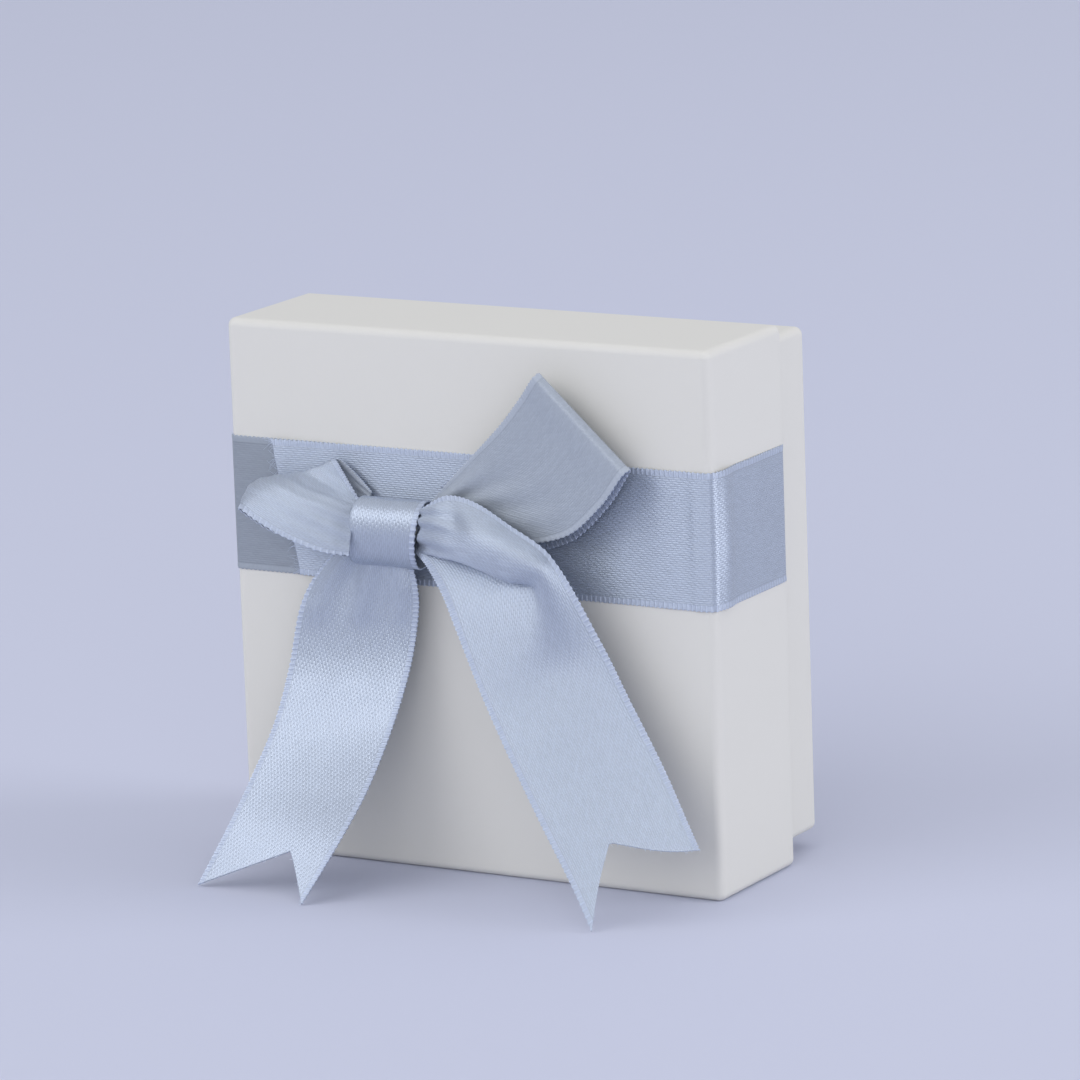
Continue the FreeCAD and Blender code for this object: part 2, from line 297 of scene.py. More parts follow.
def paper(name, colour, grain=2600.0, roughness=0.62):
    """Uncoated paper: fibres, a faint mottle, and the slight waviness of glued paper."""
    s = Shader(name)
    fibres = s.noise(grain, detail=4.0, vector=s.stretched((1.0, 1.0, 0.55)), roughness=0.7)
    cloud = s.noise(55.0, detail=3.0)
    mottle = s.math("MULTIPLY", s.math("ADD", fibres, cloud), 0.5)
    tone = s.mix(mottle, shade(colour, 1 - PAPER_MOTTLE), colour)
    normal = s.bump(s.noise(38.0, detail=1.0), strength=0.35, distance=PAPER_WAVE_DEPTH)
    normal = s.bump(fibres, strength=0.30, distance=PAPER_GRAIN_DEPTH, normal=normal)
    rough = s.math("ADD", s.math("MULTIPLY", fibres, FIBRE_ROUGHNESS), roughness - FIBRE_ROUGHNESS / 2)
    return s.finish(Base_Color=tone, Roughness=rough, Normal=normal, Specular_IOR_Level=0.35)


def greyboard():
    """Recycled grey board: flecks and short fibres."""
    s = Shader("greyboard")
    greys = [(0.36, (0.22, 0.21, 0.19)), (0.5, (0.44, 0.42, 0.38)), (0.66, (0.55, 0.53, 0.49))]
    flecks = s.ramp(s.noise(1500.0, detail=5.0, roughness=0.75), greys)
    normal = s.bump(s.noise(900.0, detail=4.0), strength=0.5, distance=0.00008)
    return s.finish(Base_Color=flecks, Roughness=0.92, Normal=normal)


def gummed_tape():
    """Brown gummed paper with fine ribs."""
    s = Shader("gummed_tape")
    fibres = s.noise(1900.0, detail=4.0, vector=s.stretched((1.0, 0.2, 1.0)), roughness=0.7)
    tone = s.ramp(fibres, [(0.3, (0.42, 0.32, 0.20)), (0.7, (0.60, 0.48, 0.32))])
    normal = s.bump(fibres, strength=0.4, distance=0.00004)
    return s.finish(Base_Color=tone, Roughness=0.6, Normal=normal)


def foam():
    """Fine white packaging foam: open cells of a few tenths of a millimetre."""
    s = Shader("foam")
    cells = s.node("ShaderNodeTexVoronoi", Scale=2400.0, Vector=s.place()).outputs["Distance"]
    tone = s.ramp(cells, [(0.0, (0.80, 0.80, 0.79)), (0.45, (0.88, 0.88, 0.87)), (1.0, (0.92, 0.92, 0.91))])
    normal = s.bump(cells, strength=0.6, distance=0.00012)
    return s.finish(Base_Color=tone, Roughness=0.95, Normal=normal, Subsurface_Weight=0.1)


def velvet():
    """Short cream pile: sheen at grazing angles and a brushed mottle."""
    s = Shader("velvet")
    pile = s.noise(5200.0, detail=3.0, roughness=0.8)
    brushed = s.noise(90.0, detail=3.0, vector=s.stretched((1.0, 1.0, 2.2)), roughness=0.6)
    tone = s.mix(brushed, (0.66, 0.65, 0.62), (0.80, 0.79, 0.76))
    tone = s.mix(s.math("MULTIPLY", pile, 0.35), tone, (0.88, 0.87, 0.84))
    normal = s.bump(pile, strength=0.7, distance=0.00018)
    return s.finish(Base_Color=tone, Roughness=0.98, Normal=normal, Sheen_Weight=0.7, Sheen_Roughness=0.45)


def adhesive():
    """Clear yellowish adhesive with small bubbles."""
    s = Shader("adhesive")
    bubbles = s.noise(1400.0)
    tone = s.ramp(bubbles, [(0.3, (0.70, 0.67, 0.56)), (0.7, (0.82, 0.80, 0.72))])
    return s.finish(Base_Color=tone, Roughness=0.35, Normal=s.bump(bubbles, strength=0.3, distance=0.00005))


THREAD_W = 0.32          # width of a satin float, in millimetres
FLOAT_L = 1.10           # and its length
FLOAT_SHIFT = 0.4        # each row of floats starts this share of a float later


def satin_floats(s, uv):
    """Satin floats: short threads along the ribbon, each row starting a little later. Gives
    their height, a random value for each float, and the place along and across."""
    split = s.node("ShaderNodeSeparateXYZ", Vector=uv)
    along, across = split.outputs[0], split.outputs[1]
    row = s.math("DIVIDE", across, THREAD_W * MM)
    number = s.math("FLOOR", row)
    place = s.math("ADD", s.math("DIVIDE", along, FLOAT_L * MM), s.math("MULTIPLY", number, FLOAT_SHIFT))
    bow = s.math("SINE", s.math("MULTIPLY", s.math("FRACT", place), math.pi))
    bulge = s.math("SINE", s.math("MULTIPLY", s.math("FRACT", row), math.pi))
    cell = s.node("ShaderNodeCombineXYZ", X=s.math("FLOOR", place), Y=number)
    chance = s.node("ShaderNodeTexWhiteNoise", Vector=cell.outputs[0]).outputs["Value"]
    return s.math("MULTIPLY", s.math("POWER", bow, 0.5), bulge), chance, along, across


def ribbon_cloth(name, face, selvedge, gloss, weave_depth, contrast, dotted):
    """Single-face satin ribbon. Its UV map is in metres, along the ribbon and across it."""
    s = Shader(name)
    uv = s.node("ShaderNodeUVMap", {"uv_map": "cloth"}).outputs["UV"]
    threads, chance, along, across = satin_floats(s, uv)
    rim = s.math("MINIMUM", across, s.math("SUBTRACT", RIBBON_W * MM, across))
    rim_share = s.math("DIVIDE", rim, 2 * SELVEDGE_W * MM)
    border = s.ramp(rim_share, [(0.0, 1.0), (0.44, 1.0), (0.52, 0.0)])
    seam = s.ramp(rim_share, [(0.46, 0.0), (0.55, 1.0), (0.64, 0.0)])
    beat = s.math("SINE", s.math("MULTIPLY", along, 2 * math.pi / (PICOT_PITCH * MM)))
    dots = s.ramp(beat, [(0.25, 0.0), (0.80, 1.0)])

    def tinted(tone, where, amount, brightness):
        return s.mix(s.math("MULTIPLY", where, amount), tone, shade(face, brightness))

    tone = s.mix(threads, shade(face, 1 - contrast), face)
    tone = tinted(tone, chance, amount=0.30, brightness=1.25)
    tone = tinted(tone, s.noise(180.0), amount=0.22, brightness=0.88)
    tone = tinted(tone, seam, amount=0.35, brightness=0.72)
    edge_height = s.math("MULTIPLY", dots, dotted)
    tone = s.mix(border, tone, s.mix(edge_height, shade(selvedge, 0.90), selvedge))

    weave_height = s.math("ADD", threads, s.math("MULTIPLY", chance, 0.25))
    normal = s.bump(s.mix(border, weave_height, edge_height), strength=0.7, distance=weave_depth)
    uneven = s.math("ADD", s.math("MULTIPLY", chance, 0.10), gloss["roughness"])
    rough = s.math("ADD", s.math("MULTIPLY", border, 0.18), uneven)
    tangent = s.node("ShaderNodeTangent", {"direction_type": "UV_MAP", "uv_map": "cloth"})
    return s.finish(
        Base_Color=tone, Roughness=rough, Normal=normal, Tangent=tangent.outputs[0],
        Metallic=gloss["metallic"], Anisotropic=gloss["anisotropy"], Anisotropic_Rotation=0.25,
        Sheen_Weight=0.12, Sheen_Roughness=0.4,
    )


def loose_thread():
    """A single pale filament from a cut end."""
    s = Shader("loose_thread")
    twist = s.noise(3000.0)
    tone = s.mix(twist, (0.50, 0.57, 0.70), (0.66, 0.72, 0.84))
    normal = s.bump(twist, strength=0.3, distance=0.00002)
    return s.finish(Base_Color=tone, Roughness=0.5, Normal=normal, Sheen_Weight=0.3)


IVORY = (0.70, 0.69, 0.655)
BLUE = (0.515, 0.578, 0.690)
BLUE_PALE = (0.62, 0.69, 0.83)
BLUE_DULL = (0.375, 0.418, 0.485)
# the reverse's dull blue made about a quarter darker: painted shade for the band's upright under layer
BLUE_DULL_SHADED = (0.285, 0.320, 0.375)
BLUE_DULL_PALE = (0.47, 0.52, 0.60)
SATIN_GLOSS = {"roughness": 0.44, "metallic": 0.62, "anisotropy": 0.85}
REVERSE_GLOSS = {"roughness": 0.44, "metallic": 0.22, "anisotropy": 0.35}

covering = paper("covering_paper", IVORY)
lining = paper("lining_paper", (0.70, 0.69, 0.66), roughness=0.7)
card = paper("insert_card", (0.66, 0.65, 0.61), grain=1800.0, roughness=0.75)
board = greyboard()
stay_tape = gummed_tape()
white_foam = foam()
pile = velvet()
glue = adhesive()
satin = ribbon_cloth(
    "satin_face", BLUE, BLUE_PALE, SATIN_GLOSS, weave_depth=0.00007, contrast=0.20, dotted=1.0,
)
REVERSE_WEAVE = {"weave_depth": 0.00003, "contrast": 0.06, "dotted": 0.15}
satin_back = ribbon_cloth("satin_reverse", BLUE_DULL, BLUE_DULL_PALE, REVERSE_GLOSS, **REVERSE_WEAVE)
# a darker copy of the reverse: painted shade on the band's under layer, which hangs upright
satin_under_shaded = ribbon_cloth("satin_under_shaded", BLUE_DULL_SHADED, BLUE_DULL, REVERSE_GLOSS, **REVERSE_WEAVE)
thread = loose_thread()

CAD_FINISH = {
    "covering_paper": covering, "lining_paper": lining, "insert_card": card, "greyboard": board,
    "corner_tape": stay_tape, "foam": white_foam, "velvet": pile, "adhesive": glue, "satin_ribbon": satin,
}
for entry in frame["record"]["subparts"]:
    node = frame["nodes"][entry["node"]]
    node.data.materials.clear()
    node.data.materials.append(CAD_FINISH[entry["material_slot"]])


# ======================= ribbon meshes =======================
def hermite(values, knots, at):
    """Catmull-Rom values at the places asked for, along the first axis."""
    slopes = np.empty_like(values)
    last = len(values) - 1
    for i in range(last + 1):
        near, far = max(i - 1, 0), min(i + 1, last)
        slopes[i] = (values[far] - values[near]) / (knots[far] - knots[near])
    i = np.clip(np.searchsorted(knots, at, side="right") - 1, 0, last - 1)
    shape = (-1,) + (1,) * (values.ndim - 1)
    span = (knots[i + 1] - knots[i]).reshape(shape)
    t = ((at - knots[i]) / (knots[i + 1] - knots[i])).reshape(shape)
    return (
        (2 * t**3 - 3 * t**2 + 1) * values[i] + (t**3 - 2 * t**2 + t) * span * slopes[i]
        + (3 * t**2 - 2 * t**3) * values[i + 1] + (t**3 - t**2) * span * slopes[i + 1]
    )


def length_along(points):
    return np.concatenate([[0], np.cumsum(np.linalg.norm(np.diff(points, axis=0), axis=1))])


def across_steps(middle=30):
    """Places across the ribbon from 0 to 1, close together at both selvedges."""
    rim = np.array([0, 0.12, 0.25, 0.42, 0.62, 0.85, 1.2]) / RIBBON_W
    inner = np.linspace(rim[-1], 1 - rim[-1], middle)[1:-1]
    return np.concatenate([rim, inner, 1 - rim[::-1]])


def unit(vectors):
    return vectors / np.maximum(np.linalg.norm(vectors, axis=-1, keepdims=True), 1e-12)


def surface_normals(points):
    return unit(np.cross(np.gradient(points, axis=0), np.gradient(points, axis=1)))


def swell(along, across, feature):
    """A smooth rise or dent: where it is, its half-lengths, its height and its turn."""
    at, side, long, wide, height, turn = feature
    a = (along - at) * math.cos(turn) + (across - side) * math.sin(turn)
    b = (across - side) * math.cos(turn) - (along - at) * math.sin(turn)
    return height * np.exp(-((a / long) ** 2) - ((b / wide) ** 2))


PROFILE_REACH = 14       # a gather profile is smoothed over this many places on each side
ROWS_PER_STATION = 40    # of the close rows along which a ribbon is measured
SECTION_POINTS = 241     # across each row, while its gathers are worked out
PLEAT_DRIFT = 0.05       # how far the pleats wander sideways, as a share of the width
PLEAT_TURN = 0.21        # and how fast along the ribbon, in radians a millimetre
PLEAT_FADE = 0.06        # the share of the width over which they fade at a selvedge
FINE_PLEATS = 0.10       # what is left of them where a profile sets the gathers
HALVINGS = 14            # of the range in which a row's gathers are sought
EASE_ROWS = 16           # the gathers are eased over this many rows on each side


def gather_profile(points, s):
    """A smooth height across the ribbon, from 0 to 1, through a few (place, height) points."""
    fine = np.interp(s, [at for at, _ in points], [height for _, height in points])
    kernel = np.hanning(2 * PROFILE_REACH + 1)
    padded = np.concatenate([np.full(PROFILE_REACH, fine[0]), fine, np.full(PROFILE_REACH, fine[-1])])
    smooth = np.convolve(padded, kernel / kernel.sum(), mode="valid")
    return smooth - (smooth[0] * (1 - s) + smooth[-1] * s)


def gather_wave(s, at, pleats, profile):
    """The gathers' height, from 0 to 1, at the places s across each row and at along."""
    phase = pleats * (s + PLEAT_DRIFT * np.sin(2 * math.pi * s + at[:, None] * PLEAT_TURN))
    wave = (0.5 - 0.5 * np.cos(2 * math.pi * phase)) * np.minimum(1.0, np.minimum(s, 1 - s) / PLEAT_FADE)
    if profile is None:
        return wave
    return gather_profile(profile, s) + FINE_PLEATS * wave


def even_rows(stations):
    """Rows at even steps along a ribbon, how far along each is, its place among the stations,
    and the stations' own places."""
    rows = np.array(stations, float)
    knots = length_along(rows.mean(axis=1))
    fine_at = np.linspace(0, knots[-1], ROWS_PER_STATION * len(rows))
    travelled = length_along(hermite(rows, knots, fine_at).mean(axis=1))
    at = np.linspace(0, travelled[-1], int(travelled[-1] / RIBBON_STEP) + 2)
    place = np.interp(at, travelled, fine_at)
    return hermite(rows, knots, place), at, place, knots


def gather_heights(base, out, wave, reach):
    """How far each row's gathers stand out: far enough to make the row as long as the ribbon is
    wide, but not past its reach. The heights are then eased along the ribbon."""
    low, high = np.zeros_like(reach), reach.copy()
    for _ in range(HALVINGS):
        middle = (low + high) / 2
        points = base + out * (middle * wave)[..., None]
        widths = np.linalg.norm(np.diff(points, axis=1), axis=2).sum(axis=1, keepdims=True)
        low, high = np.where(widths < RIBBON_W, middle, low), np.where(widths < RIBBON_W, high, middle)
    ease = np.hanning(2 * EASE_ROWS + 1)
    padded = np.pad(((low + high) / 2)[:, 0], EASE_ROWS, mode="edge")
    return np.convolve(padded, ease / ease.sum(), mode="valid")[:, None]


def places_along(at, v, cut):
    """How far along the ribbon each point is, where a cut leaves some of its threads shorter."""
    keep = np.ones_like(v) if cut is None else np.array([cut(x, at[-1]) for x in v])
    return at[:, None] * keep[None, :]


def cut_grid(points, at, v, along):
    """The surface at the places v across and along."""
    run = np.linalg.norm(np.diff(points, axis=1), axis=2)
    run = np.concatenate([np.zeros((len(run), 1)), np.cumsum(run, axis=1)], axis=1)
    run /= run[:, -1:]
    whole = np.zeros((len(points), len(v), 3))
    for i, k in np.ndindex(len(points), 3):
        whole[i, :, k] = np.interp(v, run[i], points[i, :, k])
    grid = np.zeros_like(whole)
    for j, k in np.ndindex(len(v), 3):
        grid[:, j, k] = np.interp(along[:, j], at, whole[:, j, k])
    return grid


def gathered(stations, reaches, pleats, profile=None, swells=(), cut=None):
    """A ribbon surface through stations, each a row of points from one selvedge to the other.
    A station's reach is how far its gathers may stand out. Where a row is shorter than the
    ribbon is wide, the gathers take up the spare width as far as the reach allows, so a row
    with too little reach is narrower than the ribbon."""
    rows, at, place, knots = even_rows(stations)
    reach = np.maximum(np.interp(place, knots, reaches), 0)[:, None]
    s = np.linspace(0, 1, SECTION_POINTS)
    base = hermite(rows.transpose(1, 0, 2), np.linspace(0, 1, rows.shape[1]), s).transpose(1, 0, 2)
    out = surface_normals(base)
    wave = gather_wave(s, at, pleats, profile)
    points = base + out * (gather_heights(base, out, wave, reach) * wave)[..., None]
    v = across_steps()
    along = places_along(at, v, cut)
    across = np.broadcast_to(v * RIBBON_W, along.shape).copy()
    return swelled(cut_grid(points, at, v, along), along, across, swells), along, across, at[-1]


def swelled(grid, along, across, swells):
    """The surface with smooth rises and dents added."""
    if not swells:
        return grid
    lift = sum(swell(along, across, feature) for feature in swells)
    return grid + surface_normals(grid) * lift[..., None]


def grid_faces(count_u, count_v):
    """The faces of a grid of points, and the points' numbers."""
    grid = np.arange(count_u * count_v).reshape(count_u, count_v)
    faces = np.stack([grid[:-1, :-1], grid[1:, :-1], grid[1:, 1:], grid[:-1, 1:]], axis=-1)
    return faces.reshape(-1, 4), grid


def sheet_faces(count_u, count_v):
    """The faces of a closed sheet between two grids of points: front, back and four rims. Also
    how many of them the front has."""
    front, grid = grid_faces(count_u, count_v)
    faces = [front, front[:, ::-1] + grid.size]
    for line in (grid[:, 0], grid[-1, :], grid[::-1, -1], grid[0, ::-1]):
        first, second = line[:-1], line[1:]
        faces.append(np.stack([first, first + grid.size, second + grid.size, second], axis=-1))
    return np.concatenate(faces), len(front)


CORD_AT = 0.35           # the selvedge's cord lies this far in from the edge
CORD_HALF = 0.28         # and is about this wide on each side
CORD_LIFT = 0.02
PICOT_HALF = 0.22        # the loops of weft fade out over this much
BACK_SHARE = 0.9         # the back stands off the middle a little less than the face


def ribbon_faces(points, along, across):
    """A ribbon's face and back as two grids, with its cord and its loops of weft."""
    normals = surface_normals(points)
    rim = np.minimum(across, RIBBON_W - across)[..., None]
    wave = 0.5 + 0.5 * np.sin(2 * math.pi * along / PICOT_PITCH)[..., None]
    cord = np.exp(-((rim - CORD_AT) / CORD_HALF) ** 2)
    lift = RIBBON_T / 2 + cord * (CORD_LIFT + CORD_RISE * wave)
    side = unit(np.gradient(points, axis=1))
    outward = np.where((across < RIBBON_W / 2)[..., None], -1.0, 1.0)
    points = points + side * outward * np.exp(-((rim / PICOT_HALF) ** 2)) * (wave - 0.5) * PICOT_REACH
    return points + normals * lift, points - normals * lift * BACK_SHARE


def above_floor(points):
    """Points in metres, none of them lower than the floor."""
    vertices = points * MM
    vertices[:, 2] = np.maximum(vertices[:, 2], 0.0)
    return vertices


def sheet_mesh(name, points, along, across, face_out=True):
    """A closed ribbon of real thickness round a grid of points, whose normals point outwards.
    Along and across are the cloth's own measures in millimetres."""
    top, low = ribbon_faces(points, along, across)
    vertices = above_floor(np.concatenate([top.reshape(-1, 3), low.reshape(-1, 3)]))
    faces, front_count = sheet_faces(*along.shape)
    mesh = bpy.data.meshes.new(name)
    mesh.from_pydata(vertices.tolist(), [], faces.tolist())
    cloth = mesh.uv_layers.new(name="cloth")
    cloth_uv = np.stack([along.ravel(), across.ravel()], axis=1) * MM
    cloth_uv = np.concatenate([cloth_uv, cloth_uv])
    corners = np.zeros(len(mesh.loops), np.int32)
    mesh.loops.foreach_get("vertex_index", corners)
    cloth.data.foreach_set("uv", cloth_uv[corners].astype(np.float32).ravel())
    mesh.materials.append(satin)
    mesh.materials.append(satin_back)
    index = np.zeros(len(faces), np.int32)
    reverse = slice(front_count, 2 * front_count) if face_out else slice(front_count)
    index[reverse] = 1
    mesh.polygons.foreach_set("material_index", index)
    mesh.polygons.foreach_set("use_smooth", np.ones(len(faces), bool))
    mesh.update()
    return add_object(name, mesh)


def notch_cut(depth, middle):
    """A swallow-tail: the length left at v, where the notch is depth mm deep."""
    def cut(v, length):
        side = v / middle if v < middle else (1 - v) / (1 - middle)
        return 1.0 - depth / length * side
    return cut


# ---- ribbon band ----
BEND_POINTS = 13         # along each rounded corner of a band
BAND_CORNER_R = 1.4


def rounded_path(corners):
    """A line in X and Y with its corners rounded, at even steps, and how far along each point is."""
    corners = [np.array(c, float) for c in corners]
    fine = [corners[0]]
    for before, here, after in zip(corners, corners[1:], corners[2:]):
        back, ahead = before - here, after - here
        reach = min(BAND_CORNER_R, 0.49 * np.linalg.norm(back), 0.49 * np.linalg.norm(ahead))
        start = here + unit(back) * reach
        stop = here + unit(ahead) * reach
        for t in np.linspace(0, 1, BEND_POINTS):
            fine.append((1 - t) ** 2 * start + 2 * t * (1 - t) * here + t**2 * stop)
    fine.append(corners[-1])
    fine = np.array(fine)
    lengths = length_along(fine)
    at = np.linspace(0, lengths[-1], int(lengths[-1] / RIBBON_STEP) + 2)
    return np.stack([np.interp(at, lengths, fine[:, k]) for k in range(2)], axis=1), at


def band_piece(name, corners, cut=None, upward=True, face_out=True, swells=()):
    """A band of ribbon round the lid. Its outside is on the left of the way up."""
    path, at = rounded_path(corners)
    v = across_steps()
    along = places_along(at, v, cut)
    rise = v if upward else 1 - v
    z = np.broadcast_to(BAND_Z0 + (BAND_Z1 - BAND_Z0) * rise, along.shape)
    grid = np.stack([np.interp(along, at, path[:, 0]), np.interp(along, at, path[:, 1]), z], axis=-1)
    across = np.broadcast_to(v * RIBBON_W, along.shape).copy()
    grid = swelled(grid, along, across, swells)
    return sheet_mesh(name, grid, along, across, face_out=face_out), at[-1], grid


skin = RIBBON_T / 2 + 0.02
leaf_x = TAPE_IN_X - RIBBON_T / 2
under_end_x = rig.box("ribbon_band_left_end")[1].x / MM
seam_x = band_low.x
TUCK = 8.0
LAP = 0.3
band_corners = [
    (leaf_x, RIM_Y - TUCK), (leaf_x, RIM_Y + skin),
    (HALF + skin, RIM_Y + skin), (HALF + skin, FRONT_Y - skin),
    (under_end_x + 2.2, FRONT_Y - skin), (under_end_x, FRONT_Y - skin - LAP), (seam_x, FRONT_Y - skin - LAP),
]
SEAM_SLANT = 3.8


def seam_cut(v, length):
    """The top layer's slanted end: it is shorter at the bottom of the band."""
    return 1.0 - SEAM_SLANT * v / length


# the band stands a little off the wall beside the corner, and ripples along the front
CORNER_AT = TUCK + RIM_Y - FRONT_Y + 2.0
SEAM_AT = CORNER_AT + HALF - seam_x
BAND_SWELLS = [
    (CORNER_AT - 3.8, 10.0, 2.2, 14.0, 0.75, 0.0),
    (CORNER_AT + 1.6, 10.0, 1.2, 14.0, 0.30, 0.0),
    (CORNER_AT + 7.0, 10.0, 3.0, 12.0, 0.22, 0.1),
    (CORNER_AT + 15.0, 12.0, 4.0, 8.0, 0.14, -0.2),
    (CORNER_AT - 13.0, 8.0, 4.0, 10.0, 0.20, 0.1),
    (SEAM_AT - 1.0, 3.0, 3.0, 4.5, 0.55, 0.0),
]
band, band_length, band_grid = band_piece(
    "ribbon_band_cloth", band_corners, seam_cut, upward=False, swells=BAND_SWELLS,
)
under_corners = [
    (-leaf_x, RIM_Y - TUCK), (-leaf_x, RIM_Y + skin),
    (-HALF - skin, RIM_Y + skin), (-HALF - skin, FRONT_Y - skin),
    (under_end_x, FRONT_Y - skin),
]
under, under_length, _ = band_piece("ribbon_band_left_cloth", under_corners, face_out=False)
# the under layer's outward face takes the darker copy of the reverse: painted shade
under.data.materials[1] = satin_under_shaded

# ---- the bow: at each station the points across the ribbon, in millimetres ----
# lower selvedge first on the tails and the right loop, upper selvedge first on the left loop
def between(a, b, places=(1 / 3, 2 / 3)):
    """A flat station: points on the straight line between the two selvedges."""
    a, b = np.array(a), np.array(b)
    return (a, *[a + (b - a) * place for place in places], b)


QUARTERS = (0.25, 0.5, 0.75)
LEFT_TAIL = [
    between((-21.4, -13.8, 46.8), (-8.0, -14.0, 47.0)),
    between((-24.8, -14.4, 42.6), (-7.0, -14.2, 43.2)),
    between((-26.5, -15.4, 38.3), (-6.8, -14.4, 39.7)),
    between((-27.5, -17.2, 30.3), (-7.5, -15.8, 32.3)),
    between((-28.4, -20.4, 22.7), (-8.8, -19.2, 23.9)),
    between((-30.3, -24.9, 14.6), (-10.1, -25.2, 15.1)),
    between((-32.1, -28.6, 8.3), (-12.0, -30.4, 8.4)),
    between((-35.2, -32.5, 0.2), (-15.4, -35.8, 0.2)),
]
LEFT_TAIL_REACH = [1.6, 1.4, 0.7, 0.3, 0.2, 0.0, 0.0, 0.0]
# selvedge, the crease behind the lobe, the lobe's lower edge, its crest, selvedge
RIGHT_TAIL = [
    ((-5.8, -16.2, 48.6), (-5.9, -15.4, 49.0), (-4.8, -16.6, 50.0), (-3.8, -17.8, 53.2), (-4.5, -16.0, 55.3)),
    ((-4.0, -17.0, 47.5), (-1.1, -15.6, 49.3), (0.7, -18.6, 49.2), (2.5, -20.2, 53.5), (-0.1, -16.4, 57.5)),
    ((-2.3, -17.6, 45.7), (3.7, -16.0, 48.3), (6.4, -20.0, 48.2), (8.4, -22.0, 52.9), (5.0, -17.2, 57.0)),
    ((-0.2, -18.4, 43.1), (9.1, -17.0, 47.1), (11.6, -20.6, 46.9), (13.6, -22.2, 51.3), (10.7, -18.2, 54.6)),
    ((2.6, -19.8, 38.8), (14.2, -18.4, 45.3), (16.4, -20.4, 45.9), (18.3, -21.2, 48.7), (17.8, -18.6, 50.6)),
    between((8.8, -22.9, 29.3), (25.1, -17.6, 38.5), QUARTERS),
    between((14.5, -25.6, 21.5), (29.7, -17.8, 30.3), QUARTERS),
    between((20.4, -28.1, 13.7), (35.3, -18.8, 21.4), QUARTERS),
    between((26.2, -30.2, 6.0), (40.2, -20.8, 14.0), QUARTERS),
    between((30.2, -31.9, 0.2), (42.4, -21.8, 10.8), QUARTERS),
]
RIGHT_TAIL_REACH = [0.7, 0.5, 0.25, 0.15, 0.1, 0.0, 0.0, 0.0, 0.0, 0.0]
RIGHT_LOOP = [
    between((-5.4, -14.8, 48.4), (-5.4, -14.4, 54.2)),
    between((0.5, -15.0, 49.2), (-2.6, -14.4, 57.4)),
    between((7.9, -15.6, 50.6), (3.0, -14.8, 62.9)),
    between((18.9, -16.2, 52.9), (8.5, -15.4, 68.2)),
    between((25.1, -16.5, 57.8), (12.2, -15.8, 72.5)),
    between((28.9, -16.5, 62.6), (14.6, -16.2, 75.6)),
    between((29.5, -15.6, 63.2), (15.2, -15.5, 76.2)),
    between((28.9, -14.6, 62.6), (14.6, -14.8, 75.6)),
    between((24.4, -13.6, 56.8), (11.8, -13.6, 72.0)),
    between((17.4, -12.9, 51.2), (8.2, -12.8, 67.6)),
    between((1.6, -12.6, 47.4), (-3.4, -12.5, 57.8)),
]
RIGHT_LOOP_REACH = [0.9, 0.6, 0.3, 0.1, 0.0, 0.0, 0.0, 0.0, 0.1, 0.2, 0.3]
# upper selvedge, valley, the body's crest, lower selvedge
LEFT_LOOP = [
    ((-16.0, -14.2, 54.8), (-15.9, -14.6, 54.4), (-15.8, -16.8, 53.1), (-15.3, -19.0, 48.0)),
    ((-17.5, -14.0, 56.9), (-18.4, -14.6, 55.4), (-18.8, -18.2, 54.7), (-18.9, -20.8, 48.7)),
    ((-19.0, -13.7, 58.9), (-21.8, -14.2, 56.9), (-23.8, -18.8, 56.0), (-24.4, -21.6, 50.5)),
    ((-20.1, -13.4, 60.3), (-24.6, -13.7, 58.2), (-28.9, -18.2, 57.3), (-29.5, -21.4, 52.6)),
    ((-20.8, -12.9, 60.7), (-25.9, -13.3, 58.6), (-32.5, -16.6, 57.2), (-33.0, -20.4, 54.0)),
    ((-20.2, -12.4, 60.5), (-25.2, -12.6, 58.1), (-31.6, -14.6, 55.3), (-33.3, -19.0, 53.0)),
    ((-17.9, -12.2, 58.6), (-21.5, -12.3, 56.5), (-26.9, -13.0, 53.0), (-29.3, -16.6, 49.8)),
    ((-15.2, -12.3, 56.1), (-16.4, -12.4, 54.1), (-18.1, -12.8, 50.6), (-18.9, -14.2, 47.3)),
]
LEFT_LOOP_REACH = [0.35, 0.3, 0.2, 0.15, 0.1, 0.2, 0.3, 0.3]
# heights across the ribbon where its gathers stand out and fold in, from 0 to 1
LEFT_TAIL_FOLDS = [
    (0.0, 0.0), (0.18, 0.65), (0.36, -0.10), (0.55, 0.75), (0.74, 0.10), (0.88, 0.50), (1.0, 0.0),
]
# rises and dents: place along and across, half-lengths, height, turn
RIGHT_TAIL_SWELLS = [
    (5.0, 15.5, 1.8, 2.6, -0.6, 0.0),
    (34.0, 10.0, 12.0, 9.0, 0.25, 0.2),
]
LEFT_TAIL_SWELLS = [
    (28.0, 10.0, 9.0, 9.0, -0.3, 0.0),
]

KNOT_LOW, KNOT_HIGH = (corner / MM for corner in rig.box("bow_knot"))
KNOT_FOLD = 0.25         # radius of the edge folded under
KNOT_SLANT = 1.3         # the wrap leans this far to the left on its way down
KNOT_START = 100         # degrees at which the wrap starts
KNOT_WRAP = 345          # and how far it goes round
KNOT_ROWS = 150
KNOT_CREASE = 0.10       # depth of the crease along the wrap's middle
KNOT_CREASE_HALF = 2.2


